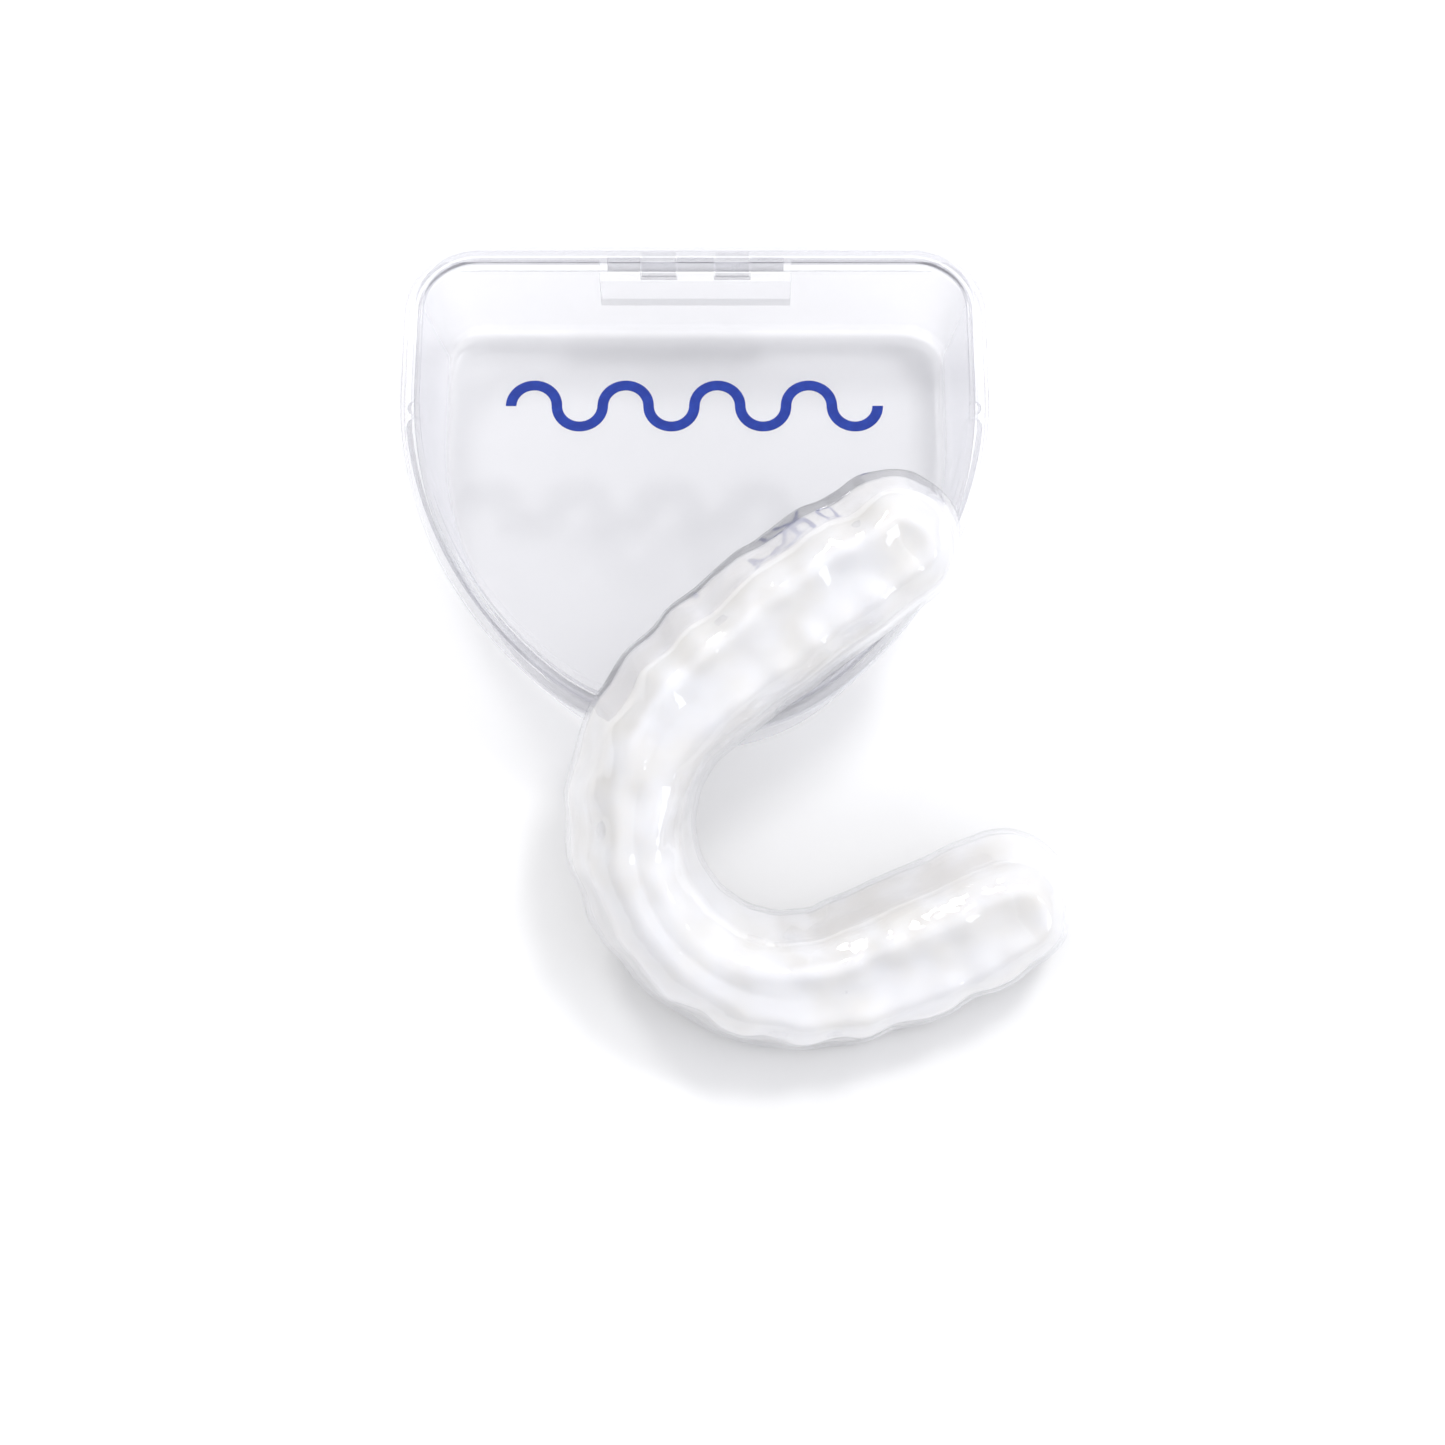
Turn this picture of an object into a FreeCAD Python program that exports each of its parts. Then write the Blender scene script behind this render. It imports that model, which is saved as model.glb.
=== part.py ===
import FreeCAD, Part
import math
import os
import Sketcher

# Mouthguard leaning on its closed, hinged retainer case, in millimetres.
# Frame: origin at the centre of the case's underside, +Z up, +Y to the hinge, the rounded nose at -Y.
# The case is two clear mouldings on one hinge pin. The guard is a clear shell laminated over a white liner.

SIZES = {
    # case outline: a D whose rounded nose follows the dental arch, measured on the lid's flange
    "half_width": 39.0,
    "rear_edge": 35.15,
    "corner_radius": 9.75,
    "straight_side": 21.25,
    "side_radius": 55.0,
    "nose_radius": 30.5,
    # base: drafted tub with a flange and a locating tongue round its rim
    "wall_inset": 1.4,
    "wall_draft": 7.8,
    "foot_fillet": 2.5,
    "rim_height": 16.0,
    "flange_thick": 1.4,
    "base_flange_inset": 0.3,
    "tongue_inset": 2.0,
    "tongue_top": 17.2,
    "floor_thick": 1.3,
    "cavity_foot_inset": 4.6,
    "cavity_fillet": 1.5,
    # lid: flange, low dome and a rounded bead round the front
    "lid_bottom": 16.1,
    "lid_flange_thick": 1.2,
    "lid_top": 20.0,
    "dome_fillet": 1.4,
    "rebate_inset": 1.8,
    "rebate_top": 17.4,
    "lid_hollow_inset": 2.6,
    "lid_roof": 18.8,
    "bead_radius": 1.5,
    "bead_inset": 2.3,
    "bead_height": 18.9,
    "bead_end": 7.0,
    "pip_radius": 0.9,
    "pip_gap": 2.6,
    # hinge under the lid's rear flange
    "hinge_inset": 1.5,
    "hinge_height": 14.6,
    "knuckle_radius": 1.4,
    "hinge_length": 24.0,
    "slot_start": 2.5,
    "slot_length": 5.0,
    "slot_radius": 1.75,
    "knuckle_gap": 0.2,
    "web_depth": 0.7,
    "pin_radius": 0.6,
    "pin_clearance": 0.05,
    "boss_half_width": 13.0,
    "boss_wall": 1.3,
    "boss_foot": 9.5,
    "boss_inset": 2.5,
    "rear_trim_gap": 0.1,
    # how far a cut runs past the solid it opens
    "overrun": 1.0,
    # printed wave on the lid
    "ink_thick": 0.1,
    "wave_radius": 3.0,
    "wave_stroke": 1.4,
    "wave_centre": 9.6,
    "wave_humps": 8,
    # guard outline at its flange edge, in the guard's own frame: +Y from the front teeth to the open end
    "arch_nose": 30.9,
    "arch_front_width": 17.0,
    "arch_inner": 11.0,
    "right_side": 73.3,
    "right_side_centre": 37.1,
    "right_tip": 9.8,
    "right_tip_centre": 49.3,
    "left_side": 106.0,
    "left_side_centre": 60.8,
    "left_tip": 9.4,
    "left_tip_centre": 53.0,
    # guard section: an upturned trough whose walls lean in towards the biting side
    "guard_height": 13.0,
    "guard_draft": 14.5,
    "guard_fillet": 3.5,
    "shell_wall": 1.5,
    "liner_wall": 1.5,
    # how the guard leans on the case: tilted about a level axis, then turned in its own plane
    "guard_tilt": 27.0,
    "guard_tilt_heading": 10.0,
    "guard_turn": -66.7,
    "guard_x": -14.14,
    "guard_y": -55.68,
    "guard_z": 10.88,
}

UP = FreeCAD.Vector(0, 0, 1)

doc = FreeCAD.newDocument("mouthguard_with_case")
sheet = doc.addObject("Spreadsheet::Sheet", "Sizes")
for row, (alias, size) in enumerate(SIZES.items(), start=1):
    sheet.set(f"A{row}", alias)
    sheet.set(f"B{row}", str(size))
    sheet.setAlias(f"B{row}", alias)
doc.recompute()


def number(expression):
    """The value, in millimetres or degrees, of an expression on the sheet."""
    return float(sheet.evalExpression(expression.replace("Sizes.", "")))


def new_body(name):
    body = doc.addObject("PartDesign::Body", name)
    body.Label = name
    return body


def new_sketch(body, name, plane="XY_Plane", offset="0"):
    """An empty sketch on one of the body's origin planes, raised along its normal by an expression."""
    sketch = body.newObject("Sketcher::SketchObject", name)
    support = [f for f in body.Origin.OriginFeatures if f.Role == plane][0]
    sketch.AttachmentSupport = [(support, "")]
    sketch.MapMode = "FlatFace"
    sketch.setExpression(".AttachmentOffset.Base.z", offset)
    return sketch


def arc(x, y, radius, start, end):
    circle = Part.Circle(FreeCAD.Vector(x, y, 0), UP, radius)
    return Part.ArcOfCircle(circle, start, end)


def line(x1, y1, x2, y2):
    return Part.LineSegment(FreeCAD.Vector(x1, y1, 0), FreeCAD.Vector(x2, y2, 0))


def drive(sketch, kind, places, expression):
    """Add a dimension to the sketch and bind it to an expression on the sheet."""
    index = sketch.addConstraint(Sketcher.Constraint(kind, *places, number(expression)))
    sketch.setExpression(f"Constraints[{index}]", expression)


def join_tangent(sketch, joints):
    for first, first_end, second, second_end in joints:
        sketch.addConstraint(Sketcher.Constraint("Tangent", first, first_end, second, second_end))


def close(sketch):
    """Solve the sketch and stop if it isn't fully and consistently constrained."""
    doc.recompute()
    if sketch.solve() != 0 or not sketch.FullyConstrained:
        raise RuntimeError(f"{sketch.Name} isn't fully constrained")
    return sketch


def case_centres():
    """The centres of the D's right-hand side arc and of its nose arc."""
    side_x = number("half_width - side_radius")
    side_y = number("rear_edge - straight_side")
    between = number("side_radius - nose_radius")
    nose_y = side_y - math.sqrt(between ** 2 - side_x ** 2)
    return side_x, side_y, nose_y


def case_outline(body, name, height, inset):
    """The case's D outline at a height, a given inset inside the lid's flange."""
    half = number(f"half_width - {inset}")
    rear = number(f"rear_edge - {inset}")
    corner = number(f"corner_radius - {inset}")
    side = number(f"side_radius - {inset}")
    nose = number(f"nose_radius - {inset}")
    side_x, side_y, nose_y = case_centres()
    corner_x = half - corner
    corner_y = rear - corner
    turn = math.atan2(side_y - nose_y, -side_x)
    sketch = new_sketch(body, name, offset=height)
    sketch.addGeometry([
        arc(0, nose_y, nose, -math.pi + turn, -turn),
        arc(side_x, side_y, side, -turn, 0),
        line(half, side_y, half, corner_y),
        arc(corner_x, corner_y, corner, 0, math.pi / 2),
        line(corner_x, rear, -corner_x, rear),
        arc(-corner_x, corner_y, corner, math.pi / 2, math.pi),
        line(-half, corner_y, -half, side_y),
        arc(-side_x, side_y, side, math.pi, math.pi + turn),
    ])
    join_tangent(sketch, [(k, 2, (k + 1) % 8, 1) for k in range(8)])
    sketch.addConstraint([
        Sketcher.Constraint("Horizontal", 4),
        Sketcher.Constraint("Vertical", 2),
        Sketcher.Constraint("Vertical", 6),
        Sketcher.Constraint("Equal", 3, 5),
        Sketcher.Constraint("Equal", 1, 7),
        Sketcher.Constraint("PointOnObject", 0, 3, -2),
    ])
    drive(sketch, "Radius", (0,), f"Sizes.nose_radius - {inset}")
    drive(sketch, "Radius", (1,), f"Sizes.side_radius - {inset}")
    drive(sketch, "Radius", (3,), f"Sizes.corner_radius - {inset}")
    drive(sketch, "DistanceX", (-1, 1, 2, 1), f"Sizes.half_width - {inset}")
    drive(sketch, "DistanceX", (6, 1, -1, 1), f"Sizes.half_width - {inset}")
    drive(sketch, "DistanceY", (-1, 1, 4, 1), f"Sizes.rear_edge - {inset}")
    drive(sketch, "DistanceY", (-1, 1, 1, 3), "Sizes.rear_edge - Sizes.straight_side")
    return close(sketch)


def arch_side(side, centre_y, tip, tip_y):
    """One arm of the arch: centres of its side and tip arcs, and the angles where its arcs join."""
    nose = number("arch_nose")
    inner = number("arch_inner")
    inner_y = number("arch_front_width + arch_inner")
    side_x = -math.sqrt((side - nose) ** 2 - (centre_y - nose) ** 2)
    tip_x = side_x + math.sqrt((side - tip) ** 2 - (tip_y - centre_y) ** 2)
    at_nose = math.atan2(nose - centre_y, -side_x)
    at_tip = math.atan2(tip_y - centre_y, tip_x - side_x)
    bearing = math.atan2(tip_y - inner_y, tip_x)
    span = math.hypot(tip_x, tip_y - inner_y)
    at_line = bearing - math.acos((inner + tip) / span)
    return side_x, tip_x, at_nose, at_tip, at_line


def arch_outline(body, name, height, inset):
    """The guard's arch at a height: nose, two sides, two tips and an inner arc joined by straight runs."""
    sketch = new_sketch(body, name, offset=height)
    i = number(inset)
    arms = []
    for hand in ("right", "left"):
        sizes = [number(f"{hand}_{what}") for what in ("side", "side_centre", "tip", "tip_centre")]
        arms.append((sizes, arch_side(*sizes)))
    (right, right_way), (left, left_way) = arms
    nose = number("arch_nose")
    inner = number("arch_inner") + i
    inner_y = number("arch_front_width + arch_inner")

    def inner_run(sign, sizes, way):
        """The straight run between an arm's tip and the inner arc."""
        dx = math.cos(way[4])
        dy = math.sin(way[4])
        low = (sign * inner * dx, inner_y + inner * dy)
        high = (sign * (way[1] - (sizes[2] - i) * dx), sizes[3] - (sizes[2] - i) * dy)
        return low, high

    right_low, right_high = inner_run(1, right, right_way)
    left_low, left_high = inner_run(-1, left, left_way)
    sketch.addGeometry([
        arc(0, nose, nose - i, -math.pi - left_way[2], right_way[2]),
        arc(right_way[0], right[1], right[0] - i, right_way[2], right_way[3]),
        arc(right_way[1], right[3], right[2] - i, right_way[3], math.pi + right_way[4]),
        line(*right_high, *right_low),
        arc(0, inner_y, inner, -math.pi - left_way[4], right_way[4]),
        line(*left_low, *left_high),
        arc(-left_way[1], left[3], left[2] - i, -left_way[4], math.pi - left_way[3]),
        arc(-left_way[0], left[1], left[0] - i, math.pi - left_way[3], math.pi - left_way[2]),
    ])
    join_tangent(sketch, [
        (0, 2, 1, 1),
        (1, 2, 2, 1),
        (2, 2, 3, 1),
        (3, 2, 4, 2),
        (4, 1, 5, 1),
        (5, 2, 6, 1),
        (6, 2, 7, 1),
        (7, 2, 0, 1),
    ])
    sketch.addConstraint([
        Sketcher.Constraint("PointOnObject", 0, 3, -2),
        Sketcher.Constraint("PointOnObject", 4, 3, -2),
    ])
    drive(sketch, "DistanceY", (-1, 1, 0, 3), "Sizes.arch_nose")
    drive(sketch, "DistanceY", (-1, 1, 4, 3), "Sizes.arch_front_width + Sizes.arch_inner")
    drive(sketch, "Radius", (0,), f"Sizes.arch_nose - ({inset})")
    drive(sketch, "Radius", (4,), f"Sizes.arch_inner + {inset}")
    for hand, side, tip in (("right", 1, 2), ("left", 7, 6)):
        drive(sketch, "Radius", (side,), f"Sizes.{hand}_side - ({inset})")
        drive(sketch, "Radius", (tip,), f"Sizes.{hand}_tip - ({inset})")
        drive(sketch, "DistanceY", (-1, 1, side, 3), f"Sizes.{hand}_side_centre")
        drive(sketch, "DistanceY", (-1, 1, tip, 3), f"Sizes.{hand}_tip_centre")
    return close(sketch)


def rectangle(body, name, plane, offset, x_low, x_high, y_low, y_high):
    """A rectangle whose four edges are bound to expressions; the plane's offset is one too."""
    sketch = new_sketch(body, name, plane, offset)
    left, right, low, high = [number(e) for e in (x_low, x_high, y_low, y_high)]
    sketch.addGeometry([
        line(left, low, right, low),
        line(right, low, right, high),
        line(right, high, left, high),
        line(left, high, left, low),
    ])
    for k in range(4):
        sketch.addConstraint(Sketcher.Constraint("Coincident", k, 2, (k + 1) % 4, 1))
        sketch.addConstraint(Sketcher.Constraint("Vertical" if k % 2 else "Horizontal", k))
    drive(sketch, "DistanceX", (-1, 1, 0, 1), x_low)
    drive(sketch, "DistanceX", (-1, 1, 1, 1), x_high)
    drive(sketch, "DistanceY", (-1, 1, 0, 1), y_low)
    drive(sketch, "DistanceY", (-1, 1, 2, 1), y_high)
    return close(sketch)


def circle(body, name, plane, offset, x, y, radius):
    sketch = new_sketch(body, name, plane, offset)
    sketch.addGeometry(Part.Circle(FreeCAD.Vector(number(x), number(y), 0), UP, number(radius)))
    drive(sketch, "Radius", (0,), radius)
    drive(sketch, "DistanceX", (-1, 1, 0, 3), x)
    drive(sketch, "DistanceY", (-1, 1, 0, 3), y)
    return close(sketch)


def extrude(body, kind, name, sketch, length, reverse=False):
    """A Pad or Pocket of a bound length, which must change the body's volume the way it should."""
    before = body.Shape.Volume if body.Tip else 0
    feature = body.newObject(f"PartDesign::{kind}", name)
    feature.Profile = sketch
    feature.Reversed = reverse
    feature.setExpression("Length", length)
    doc.recompute()
    gain = body.Shape.Volume - before
    if gain == 0 or (gain > 0) != (kind == "Pad"):
        raise RuntimeError(f"{name} changed the volume by {gain:.2f}")
    return feature


def draft_walls(body, name, low, high, neutral, angle):
    """Lean the upright walls between two heights, about a level face, so that material is taken off."""
    base = body.Tip
    walls = []
    for k, face in enumerate(base.Shape.Faces, start=1):
        box = face.BoundBox
        if abs(box.ZMin - number(low)) < 0.01 and abs(box.ZMax - number(high)) < 0.01:
            walls.append(f"Face{k}")
        elif abs(box.ZMin - number(neutral)) < 0.01 and box.ZLength < 0.01:
            level_face = f"Face{k}"
    before = base.Shape.Volume
    feature = body.newObject("PartDesign::Draft", name)
    feature.Base = (base, walls)
    feature.NeutralPlane = (base, [level_face])
    feature.setExpression("Angle", angle)
    doc.recompute()
    if feature.Shape.Volume > before:
        feature.Reversed = True
        doc.recompute()
    return feature


def fillet_level(body, name, height, radius):
    """Round the closed run of edges that lies level at a height."""
    level = number(height)
    base = body.Tip
    names = []
    for k, edge in enumerate(base.Shape.Edges, start=1):
        box = edge.BoundBox
        if abs(box.ZMin - level) < 1e-4 and abs(box.ZMax - level) < 1e-4:
            names.append(f"Edge{k}")
    feature = body.newObject("PartDesign::Fillet", name)
    feature.Base = (base, names)
    feature.setExpression("Radius", radius)
    doc.recompute()
    return feature


def make_case_base():
    """Tub with a drafted wall, rim flange, locating tongue and three hinge knuckles."""
    body = new_body("case_base")
    rim = case_outline(body, "tub_outline", "0", "Sizes.wall_inset")
    extrude(body, "Pad", "tub", rim, "Sizes.rim_height")
    draft_walls(body, "tub_draft", "0", "Sizes.rim_height", "Sizes.rim_height", "Sizes.wall_draft")
    fillet_level(body, "foot_round", "0", "Sizes.foot_fillet")
    flange = case_outline(body, "flange_outline", "Sizes.rim_height - Sizes.flange_thick",
                          "Sizes.base_flange_inset")
    extrude(body, "Pad", "flange", flange, "Sizes.flange_thick")
    tongue = case_outline(body, "tongue_outline", "Sizes.rim_height", "Sizes.tongue_inset")
    extrude(body, "Pad", "tongue", tongue, "Sizes.tongue_top - Sizes.rim_height")
    mouth = case_outline(body, "cavity_outline", "Sizes.tongue_top", "Sizes.cavity_foot_inset")
    extrude(body, "Pocket", "cavity", mouth, "Sizes.tongue_top - Sizes.floor_thick")
    draft_walls(body, "cavity_draft", "Sizes.floor_thick", "Sizes.tongue_top", "Sizes.floor_thick",
                "Sizes.wall_draft")
    fillet_level(body, "cavity_round", "Sizes.floor_thick", "Sizes.cavity_fillet")
    hinge_y = "Sizes.rear_edge - Sizes.hinge_inset"
    boss = rectangle(body, "boss_outline", "XY_Plane", "Sizes.boss_foot",
                     "-Sizes.boss_half_width", "Sizes.boss_half_width",
                     f"{hinge_y} - Sizes.slot_radius - Sizes.boss_wall",
                     "Sizes.rear_edge - Sizes.boss_inset")
    extrude(body, "Pad", "hinge_boss", boss, "Sizes.rim_height - Sizes.boss_foot")
    trim = rectangle(body, "rear_trim", "XY_Plane", "Sizes.rim_height",
                     "-Sizes.half_width", "Sizes.half_width",
                     f"{hinge_y} - Sizes.rear_trim_gap", "Sizes.rear_edge + Sizes.overrun")
    extrude(body, "Pocket", "rear_flange_trim", trim, "Sizes.flange_thick + Sizes.overrun")
    gap = rectangle(body, "tongue_gap", "XY_Plane", "Sizes.tongue_top",
                    "-Sizes.boss_half_width", "Sizes.boss_half_width",
                    f"{hinge_y} - 2 * Sizes.slot_radius", "Sizes.rear_edge")
    extrude(body, "Pocket", "tongue_break", gap, "Sizes.tongue_top - Sizes.rim_height")
    barrel = circle(body, "barrel", "YZ_Plane", "-Sizes.hinge_length / 2",
                    hinge_y, "Sizes.hinge_height", "Sizes.knuckle_radius")
    extrude(body, "Pad", "base_barrel", barrel, "Sizes.hinge_length")
    for side, end in (("right", "Sizes.slot_start + Sizes.slot_length"), ("left", "-Sizes.slot_start")):
        slot = circle(body, f"{side}_slot", "YZ_Plane", end,
                      hinge_y, "Sizes.hinge_height", "Sizes.slot_radius")
        extrude(body, "Pocket", f"{side}_slot_cut", slot, "Sizes.slot_length")
        roof = rectangle(body, f"{side}_slot_roof", "YZ_Plane", end,
                         f"{hinge_y} - Sizes.slot_radius", "Sizes.rear_edge",
                         "Sizes.hinge_height", "Sizes.rim_height + Sizes.overrun")
        extrude(body, "Pocket", f"{side}_slot_open", roof, "Sizes.slot_length")
    bore = circle(body, "base_bore", "YZ_Plane", "Sizes.half_width",
                  hinge_y, "Sizes.hinge_height", "Sizes.pin_radius + Sizes.pin_clearance")
    extrude(body, "Pocket", "base_pin_bore", bore, "2 * Sizes.half_width")
    return body


def bead_path(body):
    """The line of the front bead: the D's side arcs and nose arc, from one pip round to the other."""
    side_x, side_y, nose_y = case_centres()
    side = number("side_radius - bead_inset")
    nose = number("nose_radius - bead_inset")
    turn = math.atan2(side_y - nose_y, -side_x)
    start = math.asin(number("bead_end") / side)
    sketch = new_sketch(body, "bead_line", offset="Sizes.bead_height")
    sketch.addGeometry([
        arc(-side_x, side_y, side, math.pi + start, math.pi + turn),
        arc(0, nose_y, nose, -math.pi + turn, -turn),
        arc(side_x, side_y, side, -turn, -start),
    ])
    join_tangent(sketch, [(0, 2, 1, 1), (1, 2, 2, 1)])
    sketch.addConstraint([
        Sketcher.Constraint("Equal", 0, 2),
        Sketcher.Constraint("PointOnObject", 1, 3, -2),
        Sketcher.Constraint("Horizontal", 0, 3, 2, 3),
    ])
    drive(sketch, "Radius", (0,), "Sizes.side_radius - Sizes.bead_inset")
    drive(sketch, "Radius", (1,), "Sizes.nose_radius - Sizes.bead_inset")
    drive(sketch, "DistanceX", (2, 3, -1, 1), "Sizes.side_radius - Sizes.half_width")
    drive(sketch, "DistanceY", (-1, 1, 2, 3), "Sizes.rear_edge - Sizes.straight_side")
    drive(sketch, "DistanceY", (0, 1, 0, 3), "Sizes.bead_end")
    drive(sketch, "DistanceY", (2, 2, 2, 3), "Sizes.bead_end")
    return close(sketch)


def ball(body, name, x, y, z, radius):
    """A sphere added to the body, its centre bound to expressions."""
    sphere = body.newObject("PartDesign::AdditiveSphere", name)
    support = [f for f in body.Origin.OriginFeatures if f.Role == "XY_Plane"][0]
    sphere.AttachmentSupport = [(support, "")]
    sphere.MapMode = "FlatFace"
    for axis, expression in zip("xyz", (x, y, z)):
        sphere.setExpression(f".AttachmentOffset.Base.{axis}", expression)
    sphere.setExpression("Radius", radius)
    doc.recompute()


def make_case_lid():
    """Shallow lid: flange, dome, front bead with a pip behind each end, rebate and two hinge knuckles."""
    body = new_body("case_lid")
    flange = case_outline(body, "lid_flange_outline", "Sizes.lid_bottom", "0")
    extrude(body, "Pad", "lid_flange", flange, "Sizes.lid_flange_thick")
    dome_foot = "Sizes.lid_bottom + Sizes.lid_flange_thick"
    shoulder = case_outline(body, "dome_outline", dome_foot, "Sizes.wall_inset")
    extrude(body, "Pad", "dome", shoulder, f"Sizes.lid_top - ({dome_foot})")
    draft_walls(body, "dome_draft", dome_foot, "Sizes.lid_top", dome_foot, "Sizes.wall_draft")
    fillet_level(body, "dome_round", "Sizes.lid_top", "Sizes.dome_fillet")
    path = bead_path(body)
    section = body.newObject("Sketcher::SketchObject", "bead_section")
    section.AttachmentSupport = [(path, "Edge1")]
    section.MapMode = "NormalToEdge"
    section.MapPathParameter = 0
    section.addGeometry(Part.Circle(FreeCAD.Vector(0, 0, 0), UP, number("bead_radius")))
    section.addConstraint(Sketcher.Constraint("Coincident", 0, 3, -1, 1))
    drive(section, "Radius", (0,), "Sizes.bead_radius")
    close(section)
    bead = body.newObject("PartDesign::AdditivePipe", "front_bead")
    bead.Profile = section
    bead.Spine = path
    doc.recompute()
    half = "Sizes.side_radius - Sizes.bead_inset"
    reach = f"sqrt(({half}) ^ 2 - Sizes.bead_end ^ 2) - Sizes.side_radius + Sizes.half_width"
    bead_y = "Sizes.rear_edge - Sizes.straight_side - Sizes.bead_end"
    for side, sign in (("right", ""), ("left", "-")):
        ball(body, f"{side}_bead_end", f"{sign}({reach})", bead_y, "Sizes.bead_height",
             "Sizes.bead_radius")
        ball(body, f"{side}_pip", f"{sign}(Sizes.half_width - Sizes.bead_inset)",
             f"{bead_y} + Sizes.pip_gap", "Sizes.lid_top - Sizes.pip_radius / 2", "Sizes.pip_radius")
    rebate = case_outline(body, "rebate_outline", "Sizes.rebate_top", "Sizes.rebate_inset")
    extrude(body, "Pocket", "rebate", rebate, "Sizes.rebate_top - Sizes.lid_bottom + Sizes.overrun")
    hollow = case_outline(body, "hollow_outline", "Sizes.lid_roof", "Sizes.lid_hollow_inset")
    extrude(body, "Pocket", "lid_hollow", hollow, "Sizes.lid_roof - Sizes.lid_bottom + Sizes.overrun")
    hinge_y = "Sizes.rear_edge - Sizes.hinge_inset"
    first = "Sizes.slot_start + Sizes.knuckle_gap"
    last = "Sizes.slot_start + Sizes.slot_length - Sizes.knuckle_gap"
    for side, start in (("right", first), ("left", f"-({last})")):
        knuckle = circle(body, f"{side}_knuckle", "YZ_Plane", start,
                         hinge_y, "Sizes.hinge_height", "Sizes.knuckle_radius")
        extrude(body, "Pad", f"{side}_lid_knuckle", knuckle, f"{last} - ({first})")
        web = rectangle(body, f"{side}_web", "YZ_Plane", start,
                        f"{hinge_y} - Sizes.web_depth", f"{hinge_y} + Sizes.knuckle_radius",
                        "Sizes.hinge_height", "Sizes.lid_bottom + Sizes.lid_flange_thick / 2")
        extrude(body, "Pad", f"{side}_lid_web", web, f"{last} - ({first})")
    bore = circle(body, "lid_bore", "YZ_Plane", "Sizes.half_width",
                  hinge_y, "Sizes.hinge_height", "Sizes.pin_radius + Sizes.pin_clearance")
    extrude(body, "Pocket", "lid_pin_bore", bore, "2 * Sizes.half_width")
    return body


def make_hinge_pin():
    """Plain pin through all five knuckles."""
    pin = doc.addObject("Part::Cylinder", "hinge_pin")
    pin.Label = "hinge_pin"
    pin.setExpression("Radius", "Sizes.pin_radius")
    pin.setExpression("Height", "Sizes.hinge_length")
    pin.Placement.Rotation = FreeCAD.Rotation(FreeCAD.Vector(0, 1, 0), 90)
    pin.setExpression("Placement.Base.x", "-Sizes.hinge_length / 2")
    pin.setExpression("Placement.Base.y", "Sizes.rear_edge - Sizes.hinge_inset")
    pin.setExpression("Placement.Base.z", "Sizes.hinge_height")
    return pin


def make_printed_mark():
    """Thin ink on the lid: a wave of half circles, alternately up and down, with square ends."""
    body = new_body("printed_mark")
    sketch = new_sketch(body, "wave", offset="Sizes.lid_top")
    radius = number("wave_radius")
    half = number("wave_stroke / 2")
    centre_y = number("wave_centre")
    humps = int(number("wave_humps"))
    first_x = -(humps - 1) * radius
    for edge in (half, -half):
        for k in range(humps):
            up = k % 2 == 0
            reach = radius + edge if up else radius - edge
            start = 0 if up else math.pi
            sketch.addGeometry(arc(first_x + 2 * k * radius, centre_y, reach, start, start + math.pi))
    left = first_x - radius
    right = -left
    sketch.addGeometry(line(left - half, centre_y, left + half, centre_y))
    sketch.addGeometry(line(right - half, centre_y, right + half, centre_y))
    sketch.addConstraint([Sketcher.Constraint("Block", k) for k in range(2 * humps + 2)])
    doc.recompute()
    extrude(body, "Pad", "ink", sketch, "Sizes.ink_thick")
    return body


def lean_on_case(body):
    """Place a piece of the guard as it leans: front and one arm low, the other arm up on the lid."""
    heading = math.radians(number("guard_tilt_heading"))
    level_axis = FreeCAD.Vector(math.cos(heading), math.sin(heading), 0)
    tilt = FreeCAD.Rotation(level_axis, number("guard_tilt"))
    turn = FreeCAD.Rotation(UP, number("guard_turn"))
    place = FreeCAD.Vector(number("guard_x"), number("guard_y"), number("guard_z"))
    body.Placement = FreeCAD.Placement(place, tilt.multiply(turn))


def make_guard_shell():
    """Clear outer layer of the guard: an upturned trough round the arch."""
    body = new_body("guard_shell")
    outside = arch_outline(body, "shell_outline", "0", "0")
    extrude(body, "Pad", "shell_block", outside, "Sizes.guard_height")
    draft_walls(body, "shell_draft", "0", "Sizes.guard_height", "0", "Sizes.guard_draft")
    fillet_level(body, "biting_edge_round", "Sizes.guard_height", "Sizes.guard_fillet")
    roof = "Sizes.guard_height - Sizes.shell_wall"
    inside = arch_outline(body, "liner_space_outline", "0",
                          f"(Sizes.shell_wall + ({roof}) * tan(Sizes.guard_draft))")
    extrude(body, "Pocket", "liner_space", inside, roof, True)
    draft_walls(body, "liner_space_draft", "0", roof, roof, "Sizes.guard_draft")
    lean_on_case(body)
    return body


def make_guard_liner():
    """White inner layer, bonded inside the shell, with the channel that the teeth sit in."""
    body = new_body("guard_liner")
    outside = arch_outline(body, "liner_outline", "0", "Sizes.shell_wall")
    extrude(body, "Pad", "liner_block", outside, "Sizes.guard_height - Sizes.shell_wall")
    draft_walls(body, "liner_draft", "0", "Sizes.guard_height - Sizes.shell_wall", "0",
                "Sizes.guard_draft")
    roof = "Sizes.guard_height - Sizes.shell_wall - Sizes.liner_wall"
    channel = arch_outline(body, "channel_outline", "0",
                           f"(Sizes.shell_wall + Sizes.liner_wall + ({roof}) * tan(Sizes.guard_draft))")
    extrude(body, "Pocket", "tooth_channel", channel, roof, True)
    draft_walls(body, "channel_draft", "0", roof, roof, "Sizes.guard_draft")
    lean_on_case(body)
    return body


pieces = [
    make_case_base(),
    make_case_lid(),
    make_hinge_pin(),
    make_printed_mark(),
    make_guard_shell(),
    make_guard_liner(),
]
doc.recompute()

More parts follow.
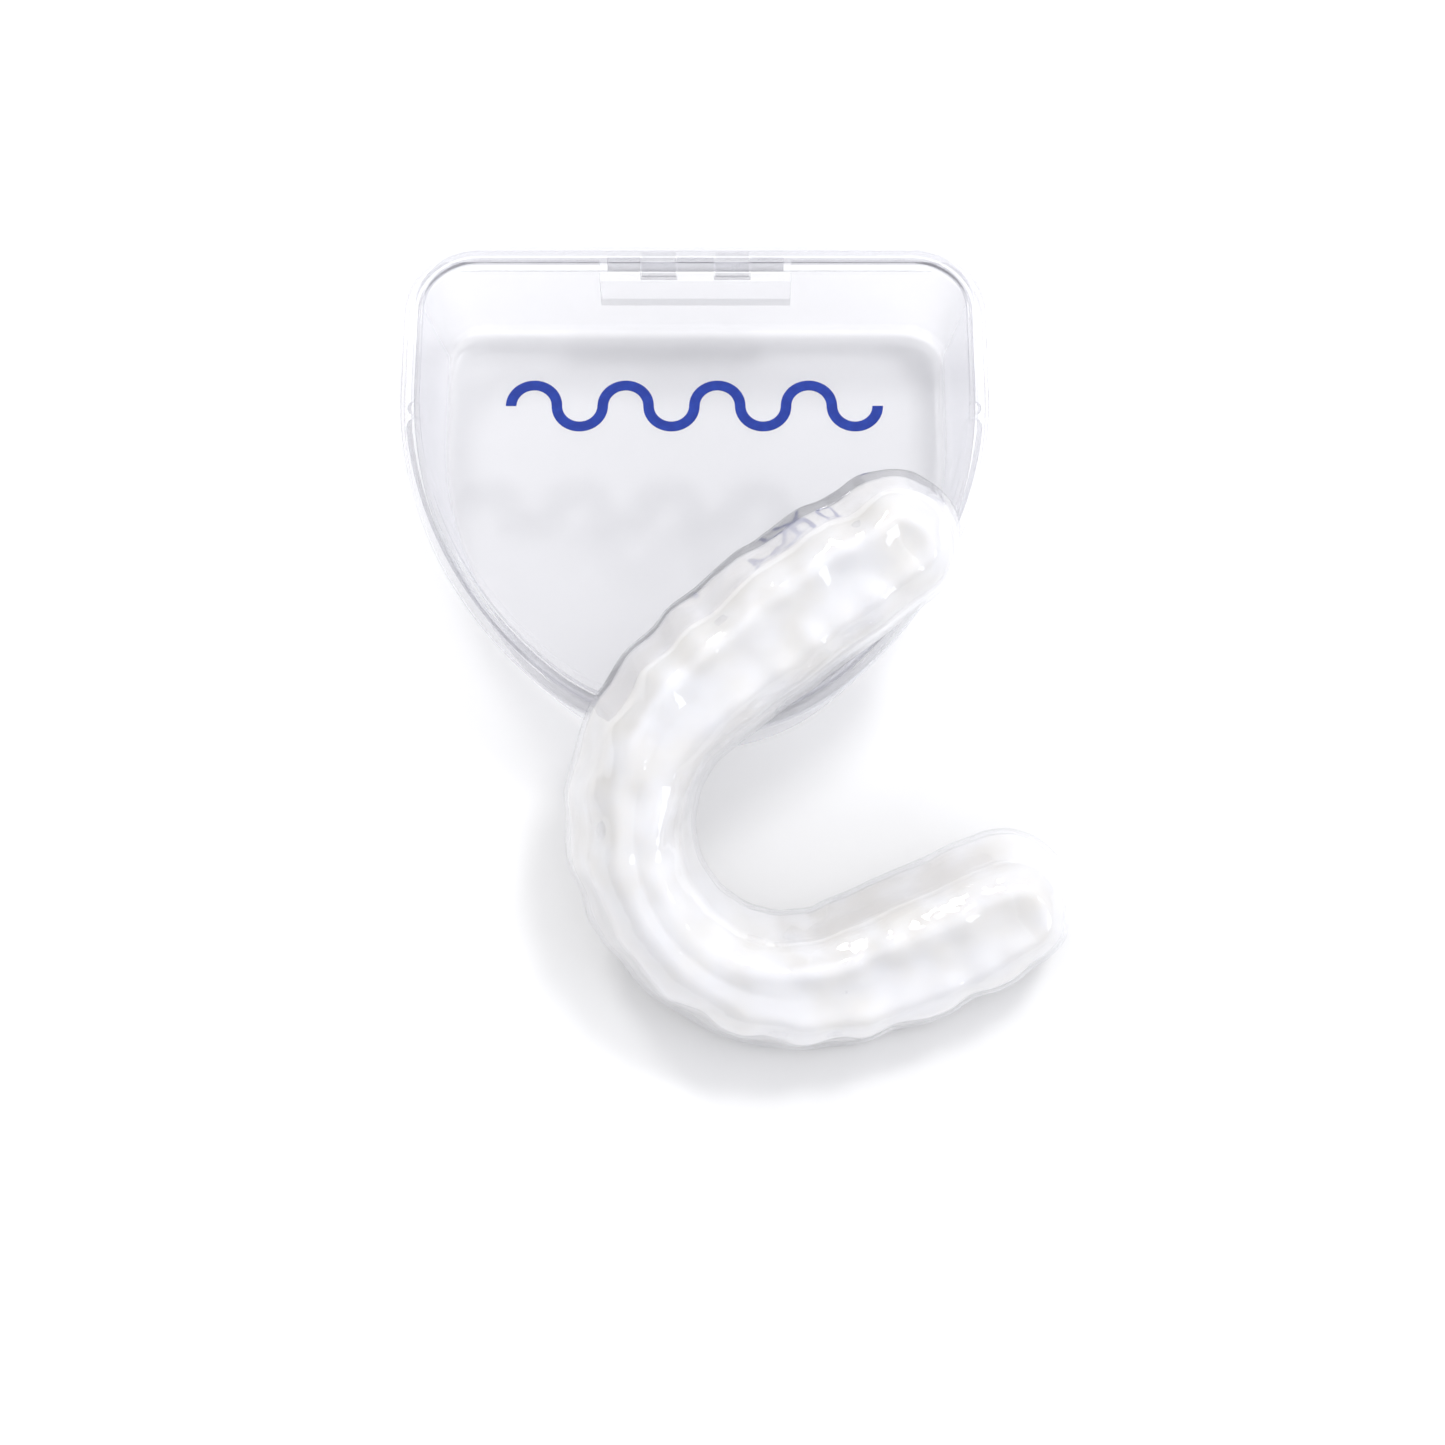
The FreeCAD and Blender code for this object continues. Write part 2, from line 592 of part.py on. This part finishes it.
for item in doc.Objects:
    if "Invalid" in item.State or "Error" in item.State:
        raise RuntimeError(f"{item.Name} failed: {item.State}")

os.makedirs("parts", exist_ok=True)
for piece in pieces:
    if piece.Shape.isNull() or not piece.Shape.isValid():
        raise RuntimeError(f"{piece.Label} has no valid shape")
    print(piece.Label, len(piece.Shape.Solids), "solid(s)", round(piece.Shape.Volume), "mm3")
    piece.Shape.exportStep(f"parts/{piece.Label}.step")
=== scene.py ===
import bisect
import math

import bmesh
import bpy
import numpy as np
from mathutils import Matrix, Vector, noise


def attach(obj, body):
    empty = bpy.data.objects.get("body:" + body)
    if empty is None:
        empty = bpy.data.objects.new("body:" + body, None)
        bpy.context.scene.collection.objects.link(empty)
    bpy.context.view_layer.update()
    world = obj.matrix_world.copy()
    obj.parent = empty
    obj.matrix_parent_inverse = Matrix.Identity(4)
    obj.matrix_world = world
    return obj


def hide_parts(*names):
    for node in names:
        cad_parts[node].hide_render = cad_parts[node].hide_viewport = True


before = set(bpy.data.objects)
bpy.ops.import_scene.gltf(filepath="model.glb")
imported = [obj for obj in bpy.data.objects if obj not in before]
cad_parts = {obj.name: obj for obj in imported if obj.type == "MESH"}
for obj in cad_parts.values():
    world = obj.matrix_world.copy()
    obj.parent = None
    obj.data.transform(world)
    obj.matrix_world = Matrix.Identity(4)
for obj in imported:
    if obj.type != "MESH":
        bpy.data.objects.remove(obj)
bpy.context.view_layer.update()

MM = 0.001


# --- Case base and lid -----------------------------------------------------------------------
# Two clear polypropylene mouldings, milky from the resin and faintly frosted by the mould, with
# polished rims. The lid's two knuckles sit between the base's three on one plastic pin.

class Value:
    """A number from a node's output; Python's operators on it add Math nodes."""

    def __init__(self, finish, socket):
        self.finish = finish
        self.socket = socket

    def math(self, operation, *terms):
        return self.finish.node("ShaderNodeMath", {"operation": operation}, dict(enumerate(terms)))

    def __add__(self, other):
        return self.math("ADD", self, other)

    def __mul__(self, other):
        return self.math("MULTIPLY", self, other)

    def __pow__(self, other):
        return self.math("POWER", self, other)

    __radd__ = __add__
    __rmul__ = __mul__

    def between(self, low, high):
        """0 below low, 1 above high and a smooth step in between."""
        settings = {"interpolation_type": "SMOOTHSTEP"}
        sockets = {"Value": self, "From Min": low, "From Max": high}
        return self.finish.node("ShaderNodeMapRange", settings, sockets)


class Finish:
    """A material: constants go straight on the Principled shader, and nodes are added one by one."""

    def __init__(self, name, **constants):
        self.material = bpy.data.materials.new(name)
        self.material.use_nodes = True
        self.tree = self.material.node_tree
        self.shader = self.tree.nodes["Principled BSDF"]
        for socket, value in constants.items():
            self.shader.inputs[socket.replace("_", " ")].default_value = value

    def put(self, sockets, name, value):
        if isinstance(value, Value):
            self.tree.links.new(value.socket, sockets[name])
        else:
            sockets[name].default_value = value

    def node(self, kind, settings, sockets, output=0):
        made = self.tree.nodes.new(kind)
        for name, value in settings.items():
            setattr(made, name, value)
        for name, value in sockets.items():
            self.put(made.inputs, name, value)
        return Value(self, made.outputs[output])

    def cloud(self, size, detail=2.0, shift=0.0):
        """Soft noise from 0 to 1 whose blobs measure about the given size, in metres."""
        place = self.node("ShaderNodeTexCoord", {}, {}, "Object")
        moved = self.node("ShaderNodeVectorMath", {"operation": "ADD"}, {0: place, 1: (shift,) * 3})
        sockets = {"Vector": moved, "Scale": 1 / size, "Detail": detail}
        return self.node("ShaderNodeTexNoise", {}, sockets)

    def faces(self, direction):
        """How squarely the surface faces a direction fixed to the object, from -1 to 1."""
        normal = self.node("ShaderNodeTexCoord", {}, {}, "Normal")
        settings = {"operation": "DOT_PRODUCT"}
        return self.node("ShaderNodeVectorMath", settings, {0: normal, 1: direction}, "Value")

    def blend(self, mask, first, second):
        """A colour between two, by a mask from 0 to 1."""
        made = self.tree.nodes.new("ShaderNodeMix")
        made.data_type = "RGBA"
        self.put(made.inputs, "Factor", mask)
        for socket, colour in (("A", first), ("B", second)):
            port = [i for i in made.inputs if i.name == socket and i.type == "RGBA"][0]
            if isinstance(colour, Value):
                self.tree.links.new(colour.socket, port)
            else:
                port.default_value = (*colour, 1.0)
        return Value(self, [o for o in made.outputs if o.type == "RGBA"][0])

    def feed(self, socket, value):
        self.tree.links.new(value.socket, self.shader.inputs[socket])

    def let_through(self, tint, veil, rim):
        """Let what is behind show: veil is the share that never does, and rim is added edge-on."""
        facing = self.node("ShaderNodeLayerWeight", {}, {"Blend": 0.5}, "Facing")
        clear = self.node("ShaderNodeBsdfTransparent", {}, {"Color": (*tint, 1.0)})
        solid = Value(self, self.shader.outputs[0])
        mixed = self.node("ShaderNodeMixShader", {}, {0: veil + rim * facing ** 2, 1: clear, 2: solid})
        self.put(self.tree.nodes["Material Output"].inputs, "Surface", mixed)

    def bump(self, height, depth):
        """Relief on the surface: height runs from 0 to 1, and depth is its range in metres."""
        self.feed("Normal", self.node("ShaderNodeBump", {}, {"Height": height, "Distance": depth}))


def case_plastic(name, milk, tint, dark, light):
    """Milky clear plastic: flow clouds in the colour, a frosted polish and a very fine moulded grain."""
    finish = Finish(name, Metallic=0.25)
    flow = finish.cloud(14 * MM, 3.0)
    finish.feed("Base Color", finish.blend(flow, dark, light))
    finish.feed("Roughness", 0.16 + 0.12 * finish.cloud(2.5 * MM))
    finish.bump(finish.cloud(0.5 * MM, 4.0), 0.01 * MM)
    finish.let_through(tint, milk + 0.02 * flow, 0.8)
    return finish.material


def dress(node, material):
    """Give a CAD node its one material."""
    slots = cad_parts[node].data.materials
    slots.clear()
    slots.append(material)


dress("case_base", case_plastic("base_plastic", 0.025, (0.998, 0.998, 0.999),
                                (0.90, 0.90, 0.935), (0.94, 0.94, 0.96)))
dress("case_lid", case_plastic("lid_plastic", 0.015, (0.989, 0.989, 0.993),
                               (0.66, 0.66, 0.72), (0.76, 0.76, 0.81)))


# --- Hinge pin -------------------------------------------------------------------------------
# A plain rod of clear acrylic, pushed through the five knuckles under the lid's rear flange.

pin = Finish("pin_acrylic")
pin.feed("Base Color", pin.blend(pin.cloud(1.5 * MM), (0.80, 0.82, 0.84), (0.88, 0.89, 0.90)))
pin.feed("Roughness", 0.20 + 0.15 * pin.cloud(0.6 * MM))
pin.let_through((0.98, 0.98, 0.99), 0.25 + 0.1 * pin.cloud(2 * MM), 0.5)
dress("hinge_pin", pin.material)


# --- Printed mark ----------------------------------------------------------------------------
# A pad-printed wave in royal blue ink on the lid's top, slightly thin where the pad lifted off.

ink = Finish("blue_ink", Specular_IOR_Level=0.2)
ink.feed("Base Color", ink.blend(ink.cloud(1.2 * MM, 4.0).between(0.35, 0.7),
                                 (0.006, 0.028, 0.25), (0.009, 0.038, 0.30)))
ink.feed("Roughness", 0.35 + 0.2 * ink.cloud(0.4 * MM))
ink.bump(ink.cloud(0.25 * MM, 3.0), 0.006 * MM)
dress("printed_mark", ink.material)


# --- Guard shell -----------------------------------------------------------------------------
# The clear hard layer, thermoformed over a cast of the teeth: an upturned trough round the arch,
# scalloped where it was drawn down between the teeth and trimmed by hand at its edge.

TILT = math.radians(27.0)
TILT_HEADING = math.radians(10.0)
TURN = math.radians(-66.7)
GUARD_PLACE = Vector((-14.14, -55.68, 10.88)) * MM
GUARD_HEIGHT = 13.0 * MM
WALL_DRAFT = math.tan(math.radians(14.5))

level_axis = Vector((math.cos(TILT_HEADING), math.sin(TILT_HEADING), 0))
lean = (Matrix.Translation(GUARD_PLACE) @ Matrix.Rotation(TILT, 4, level_axis)
        @ Matrix.Rotation(TURN, 4, "Z"))

NOSE = 30.9 * MM
FRONT_WIDTH = 17.0 * MM
INNER = 11.0 * MM
INNER_Y = FRONT_WIDTH + INNER
ARMS = {  # radius and centre height of each arm's side arc, then of its tip arc
    "right": (73.3 * MM, 37.1 * MM, 9.8 * MM, 49.3 * MM),
    "left": (106.0 * MM, 60.8 * MM, 9.4 * MM, 53.0 * MM),
}
STEP = 0.55 * MM
WIDEST = 12 * MM
TOUCH = 0.03 * MM


def arc_points(x, y, radius, start, end, facing=1):
    """Points along an arc and their outward normals; facing is -1 where the arc's inside faces out."""
    count = max(2, round(radius * abs(end - start) / STEP))
    angle = np.linspace(start, end, count, endpoint=False)
    normal = np.stack([np.cos(angle), np.sin(angle)], axis=1)
    return np.array([x, y]) + radius * normal, facing * normal


def arch_arm(side, side_y, tip, tip_y):
    """Half the arch's outline, from the front's middle round one tip to the inner middle."""
    side_x = -math.sqrt((side - NOSE) ** 2 - (side_y - NOSE) ** 2)
    tip_x = side_x + math.sqrt((side - tip) ** 2 - (tip_y - side_y) ** 2)
    at_nose = math.atan2(NOSE - side_y, -side_x)
    at_tip = math.atan2(tip_y - side_y, tip_x - side_x)
    span = math.hypot(tip_x, tip_y - INNER_Y)
    at_line = math.atan2(tip_y - INNER_Y, tip_x) - math.acos((INNER + tip) / span)
    facing = np.array([math.cos(at_line), math.sin(at_line)])
    high = np.array([tip_x, tip_y]) - tip * facing
    low = np.array([0, INNER_Y]) + INNER * facing
    count = round(np.linalg.norm(high - low) / STEP)
    run = np.linspace(high, low, count, endpoint=False)
    pieces = [
        arc_points(0, NOSE, NOSE, -math.pi / 2, at_nose),
        arc_points(side_x, side_y, side, at_nose, at_tip),
        arc_points(tip_x, tip_y, tip, at_tip, math.pi + at_line),
        (run, np.tile(-facing, (count, 1))),
        arc_points(0, INNER_Y, INNER, at_line, -math.pi / 2, facing=-1),
    ]
    return [np.vstack(part) for part in zip(*pieces)]


def arch_outline():
    """The whole closed outline: points, outward normals and the half width at each point."""
    right, right_normal = arch_arm(*ARMS["right"])
    left, left_normal = arch_arm(*ARMS["left"])
    middle = np.array([[0, FRONT_WIDTH]])
    mirror = np.array([-1, 1])
    points = np.vstack([right, middle, (left[1:] * mirror)[::-1]])
    normals = np.vstack([right_normal, [[0, 1]], (left_normal[1:] * mirror)[::-1]])
    low = np.zeros(len(points))
    high = np.full(len(points), WIDEST)
    for _ in range(14):
        reach = (low + high) / 2
        inside = points - reach[:, None] * normals
        nearest = np.linalg.norm(inside[:, None] - points[None], axis=2).min(axis=1)
        clear = nearest > reach - TOUCH
        low = np.where(clear, reach, low)
        high = np.where(clear, high, reach)
    return points, normals, low


def smooth(values, reach):
    """Running mean round the closed outline, over reach points to either side."""
    count = 2 * reach + 1
    return np.convolve(np.pad(values, reach, mode="wrap"), np.ones(count) / count, mode="valid")


outline, outward, half_width = arch_outline()
half_width = smooth(half_width, 4)
medial = outline - half_width[:, None] * outward
right_tip = int(np.argmax(np.where(outline[:, 0] > 0, outline[:, 1], 0.0)))
left_tip = int(np.argmax(np.where(outline[:, 0] < 0, outline[:, 1], 0.0)))
is_inner = np.zeros(len(outline), dtype=bool)
is_inner[right_tip:left_tip] = True

# Where each outline point lies along the arch, measured on its middle line from the front.
spine = np.vstack([medial[left_tip:], medial[:right_tip]])
spine = spine[np.r_[True, np.linalg.norm(np.diff(spine, axis=0), axis=1) > 0.05 * MM]]
travel = np.r_[0, np.cumsum(np.linalg.norm(np.diff(spine, axis=0), axis=1))]
front = travel[np.argmin(np.linalg.norm(spine - [0, FRONT_WIDTH / 2], axis=1))]
nearest = [np.argmin(np.linalg.norm(spine - p, axis=1)) for p in medial]
along = smooth(travel[nearest] - front, 5)

# Tooth widths from the midline back, in millimetres, as dental charts give for an adult arch.
TOOTH_WIDTHS = (8.0, 6.4, 7.2, 6.6, 6.4, 9.6, 9.2, 8.4)
TOOTH_ENDS = [0.0]
for width in TOOTH_WIDTHS:
    TOOTH_ENDS.append(TOOTH_ENDS[-1] + width * MM)


def tooth_at(distance):
    """Which tooth lies at a distance along the arch, and how far across it, from 0 to 1."""
    reach = min(abs(distance), TOOTH_ENDS[-1] - 0.01 * MM)
    index = bisect.bisect_right(TOOTH_ENDS, reach) - 1
    return index, (reach - TOOTH_ENDS[index]) / (TOOTH_ENDS[index + 1] - TOOTH_ENDS[index])


def crown_bulge(distance):
    """1 at the middle of a crown and 0 between two teeth, softened by the sheet's thickness."""
    _, across = tooth_at(distance)
    return 0.5 - 0.5 * math.cos(2 * math.pi * across)


# Where the cusps and the front ridge lie, as shares of the way from the cheek side to the middle.
CUSP_ROW, CUSP_SPREAD = 0.62, 0.2
RIDGE_ROW, RIDGE_SPREAD = 0.8, 0.35
CUSP_SWELL = 0.16
RIDGE_END, CUSPS_START = 14 * MM, 26 * MM
FIRST_MOLAR = 5


def cusp_height(distance, inward):
    """Relief of the biting side, 0 to 1: one ridge in front, two rows of cusps and a fissure behind."""
    index, across = tooth_at(distance)
    cusps = 2 if index >= FIRST_MOLAR else 1
    row = math.exp(-((inward - CUSP_ROW) / CUSP_SPREAD) ** 2)
    humps = row * (1 - CUSP_SWELL - CUSP_SWELL * math.cos(2 * math.pi * cusps * across))
    ridge = math.exp(-((inward - RIDGE_ROW) / RIDGE_SPREAD) ** 2)
    back = min(1.0, max(0.0, (abs(distance) - RIDGE_END) / (CUSPS_START - RIDGE_END)))
    return ridge * (1 - back) + humps * back


# The teeth print fully on the cheek side and faintly on the tongue side.
tooth_print = smooth(np.where(is_inner, 0.3, 1.0), 12)


WALL_RINGS, TURN_RINGS, ROOF_RINGS = 14, 16, 8
CHANNEL_RINGS = 14
ROOF_REACH, WALL_REACH = 0.985, 0.9
COARSE_STIR, FINE_STIR = 5.5 * MM, 2.8 * MM


def guard_skin(offset, foot, shoulder, wall_relief, top_relief, ripple, edge=None):
    """Rings of points over the guard's outside, from its edge up over the biting side.

    offset is how far the skin lies inside the shell's own outer face, foot is the height of its
    edge and shoulder the rounding above its walls; the reliefs and ripple are how far the teeth
    and the hand forming draw it in.
    """
    rings = []
    top = GUARD_HEIGHT - offset
    wall_top = top - shoulder
    rim = offset + wall_top * WALL_DRAFT + shoulder
    levels = [("wall", k / WALL_RINGS) for k in range(WALL_RINGS + 1)]
    levels += [("turn", k / TURN_RINGS) for k in range(1, TURN_RINGS + 1)]
    levels += [("roof", k / ROOF_RINGS) for k in range(1, ROOF_RINGS + 1)]
    for part, f in levels:
        ring = []
        for j in range(len(outline)):
            full = half_width[j]
            swing = {"wall": 0.0, "turn": f * math.pi / 2, "roof": math.pi / 2}[part]
            if part == "wall":
                start = foot + (edge(j) if edge else 0.0)
                height = start + (wall_top - start) * f
                inset = offset + height * WALL_DRAFT
            else:
                height = wall_top + shoulder * math.sin(swing)
                inset = rim - shoulder * math.cos(swing)
            if part == "roof":
                inset += (full * ROOF_REACH - rim) * f
            reach = WALL_REACH + (ROOF_REACH - WALL_REACH) * (f if part == "roof" else 0)
            inset = min(inset, full * reach)
            side = tooth_print[j]
            fade = min(1.0, 0.5 + height / (6 * MM))
            flat = outline[j] - inset * outward[j]
            spot = Vector((flat[0], flat[1], 0.35 * height))
            stir = noise.noise(spot / COARSE_STIR) + 0.4 * noise.noise(spot / FINE_STIR)
            depth = ripple * (stir * max(side, math.sin(swing)) - 0.7)
            depth += wall_relief * side * fade * (crown_bulge(along[j]) - 1) * math.cos(swing)
            depth += top_relief * (cusp_height(along[j], inset / full) - 1) * math.sin(swing)
            point = flat + depth * math.cos(swing) * outward[j]
            ring.append(Vector((point[0], point[1], height + depth * math.sin(swing))))
        rings.append(ring)
    return rings


def channel_skin(depth, foot, wall, relief, seed, edge=None):
    """Rings of points over the guard's inside, from its edge up to the channel's roof."""
    rings = []
    for k in range(CHANNEL_RINGS + 1):
        f = k / CHANNEL_RINGS
        ring = []
        for j in range(len(outline)):
            start = foot + (edge(j) if edge else 0.0)
            bend = min(1.0, f / 0.75)
            height = start + (depth - start) * math.sin(bend * math.pi / 2)
            inset = wall + height * WALL_DRAFT
            inset += (half_width[j] * 0.96 - inset) * max(0.0, (f - 0.45) / 0.55) ** 1.5
            inset = min(inset, half_width[j] * (0.86 + 0.12 * f))
            flat = outline[j] - inset * outward[j]
            spot = Vector((flat[0], flat[1], height + seed * MM * 40))
            stir = relief * noise.noise(spot / (3.5 * MM))
            print_of_tooth = relief * (crown_bulge(along[j]) - 0.6) * (1 - f)
            point = flat + (stir + print_of_tooth) * outward[j]
            ring.append(Vector((point[0], point[1], height + stir * f)))
        rings.append(ring)
    return rings


def zip_up(build, ring):
    """Close a ring that doubles back along the arch's middle, from its right tip to its left."""
    low, high = right_tip, right_tip + 1
    count = len(ring)
    while high - low < count - 1:
        a, b = ring[low % count], ring[high % count]
        below, above = ring[(low - 1) % count], ring[(high + 1) % count]
        if (below.co - b.co).length < (above.co - a.co).length:
            build.faces.new((a, b, below))
            low -= 1
        else:
            build.faces.new((a, b, above))
            high += 1


def closed_mesh(name, outside, inside):
    """One closed solid from the outside and inside rings, zipped up along the middle of each."""
    mesh = bpy.data.meshes.new(name)
    build = bmesh.new()
    rows = [[build.verts.new(lean @ p) for p in ring] for ring in inside[::-1] + outside]
    count = len(outline)
    for low, high in zip(rows, rows[1:]):
        for j in range(count):
            k = (j + 1) % count
            build.faces.new((low[j], low[k], high[k], high[j]))
    zip_up(build, rows[0])
    zip_up(build, rows[-1])
    bmesh.ops.remove_doubles(build, verts=build.verts, dist=0.01 * MM)
    bmesh.ops.recalc_face_normals(build, faces=build.faces)
    build.to_mesh(mesh)
    build.free()
    for polygon in mesh.polygons:
        polygon.use_smooth = True
    piece = bpy.data.objects.new(name, mesh)
    bpy.context.scene.collection.objects.link(piece)
    return piece


shell = closed_mesh(
    "guard_clear_shell",
    guard_skin(0.0, 0.0, 4.8 * MM, 0.5 * MM, 0.7 * MM, 0.45 * MM),
    channel_skin(11.0 * MM, 0.0, 1.7 * MM, 0.2 * MM, 2),
)
clear = Finish("guard_clear", Metallic=0.65)
clear.feed("Base Color", clear.blend(clear.cloud(6 * MM), (0.88, 0.88, 0.90), (0.92, 0.92, 0.93)))
clear.feed("Roughness", 0.03 + 0.06 * clear.cloud(3 * MM, 3.0))
biting = clear.faces(lean.to_3x3() @ Vector((0, 0, 1))).between(0.4, 0.85)
clear.bump(biting * clear.cloud(2.6 * MM, 1.0), 0.24 * MM)
clear.let_through((0.985, 0.985, 0.99), 0.13 + 0.08 * clear.cloud(4 * MM), 0.6)
shell.data.materials.append(clear.material)
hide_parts("guard_shell")
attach(shell, "guard")


# --- Guard liner -----------------------------------------------------------------------------
# The white layer under the clear one, bonded to it. It takes the print of the teeth, and its edge
# wanders up to two millimetres short of the shell's trimmed edge.

def liner_edge(j):
    """How much higher the white layer stops at one place round the arch."""
    wander = noise.noise(Vector((outline[j][0], outline[j][1], 0)) / (5 * MM))
    margin = 0.2
    if outline[j][0] < 0 and not is_inner[j]:
        margin += 1.5 * min(1.0, max(0.0, (outline[j][1] / MM - 30) / 12))
    return (margin + 0.3 * wander) * MM


liner = closed_mesh(
    "guard_white_liner",
    guard_skin(0.45 * MM, 0.1 * MM, 4.6 * MM, 0.6 * MM, 1.0 * MM, 0.45 * MM, liner_edge),
    channel_skin(9.6 * MM, 0.2 * MM, 2.9 * MM, 0.4 * MM, 4, liner_edge),
)
white = Finish("guard_white", Coat_Weight=1.0, Coat_Roughness=0.04, IOR=1.5,
               Subsurface_Weight=0.6, Subsurface_Scale=3 * MM, Subsurface_Radius=(1.0, 0.95, 0.9))
pearl = white.blend(white.cloud(9 * MM).between(0.35, 0.65),
                    (0.825, 0.813, 0.785), (0.85, 0.85, 0.862))
# Painted shade: faces turned towards the object's -X, +Y side get a darker, warmer beige, standing in
# for the dimmer, warmer light on that side.
painted_shade_side = white.faces(Vector((-0.75, 0.55, 0.35)).normalized()).between(0.25, 1.0)
pearl = white.blend(painted_shade_side, pearl, (0.75, 0.73, 0.69))
glow = white.cloud(5.0 * MM, 1.0, 0.3).between(0.35, 0.9)
white.feed("Base Color", white.blend(glow, pearl, (0.885, 0.887, 0.895)))
white.feed("Roughness", 0.30 + 0.2 * white.cloud(2.0 * MM, 2.0))
white.bump(white.cloud(3.0 * MM, 1.0), 0.08 * MM)
liner.data.materials.append(white.material)
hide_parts("guard_liner")
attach(liner, "guard")


# --- Studio ----------------------------------------------------------------------------------
# A white sweep, a dome that is bright overhead and grey at the sides, and soft boxes that show as
# the small highlights on the guard.

floor_mesh = bpy.data.meshes.new("studio_floor")
SWEEP = 3.0
FLOOR_Z = -0.1 * MM
corners = [(x * SWEEP, y * SWEEP, FLOOR_Z) for x, y in ((-1, -1), (1, -1), (1, 1), (-1, 1))]
floor_mesh.from_pydata(corners, [], [(0, 1, 2, 3)])
floor = bpy.data.objects.new("studio_floor", floor_mesh)
bpy.context.scene.collection.objects.link(floor)
paper = Finish("studio_paper", Roughness=0.9, Specular_IOR_Level=0.1)
paper.feed("Base Color", paper.blend(paper.cloud(0.5), (0.91, 0.91, 0.91), (0.92, 0.92, 0.915)))
floor.data.materials.append(paper.material)

world = bpy.data.worlds.new("studio_dome")
bpy.context.scene.world = world
world.use_nodes = True
sky = world.node_tree
place = sky.nodes.new("ShaderNodeTexCoord")
toward = sky.nodes.new("ShaderNodeVectorMath")
toward.operation = "DOT_PRODUCT"
toward.inputs[1].default_value = Vector((0.32, 0.12, 0.94)).normalized()
ramp = sky.nodes.new("ShaderNodeValToRGB")
sky.links.new(place.outputs["Generated"], toward.inputs[0])
sky.links.new(toward.outputs["Value"], ramp.inputs["Fac"])
ramp.color_ramp.elements[0].position = 0.14
ramp.color_ramp.elements[0].color = (0.62, 0.62, 0.63, 1)
ramp.color_ramp.elements[1].position = 0.9
ramp.color_ramp.elements[1].color = (1.0, 1.0, 1.03, 1)
dome = sky.nodes["Background"]
sky.links.new(ramp.outputs["Color"], dome.inputs["Color"])
dome.inputs["Strength"].default_value = 1.08


def soft_box(name, place, size, power, colour, target=(0.0, -0.02, 0.0)):
    """An area light aimed at the object."""
    lamp = bpy.data.lights.new(name, "AREA")
    lamp.shape = "RECTANGLE"
    lamp.size = size[0]
    lamp.size_y = size[1]
    lamp.energy = power
    lamp.color = colour
    holder = bpy.data.objects.new(name, lamp)
    holder.location = place
    aim = Vector(target) - Vector(place)
    holder.rotation_euler = aim.to_track_quat("-Z", "Y").to_euler()
    bpy.context.scene.collection.objects.link(holder)


soft_box("key_box", (0.24, 0.20, 0.70), (0.15, 0.15), 1.5, (1.0, 1.0, 1.0))
soft_box("back_box", (-0.20, 0.36, 0.56), (0.12, 0.12), 0.8, (1.0, 1.0, 0.99))
soft_box("cool_box", (0.55, -0.35, 0.35), (0.20, 0.35), 0.4, (0.86, 0.90, 1.0))

camera = bpy.data.objects.new("camera", bpy.data.cameras.new("camera"))
CAMERA_TARGET = Vector((3.68, -27.21, 0.0)) * MM
CAMERA_DISTANCE = 320 * MM
CAMERA_ELEVATION = math.radians(70)
back = Vector((0, -math.cos(CAMERA_ELEVATION), math.sin(CAMERA_ELEVATION)))
camera.location = CAMERA_TARGET + CAMERA_DISTANCE * back
camera.rotation_euler = (math.pi / 2 - CAMERA_ELEVATION, 0, 0)
camera.data.sensor_width = 36.0
camera.data.lens = 59.7
camera.data.clip_start = 0.01
bpy.context.scene.collection.objects.link(camera)
bpy.context.scene.camera = camera
bpy.context.scene.view_settings.view_transform = "Standard"
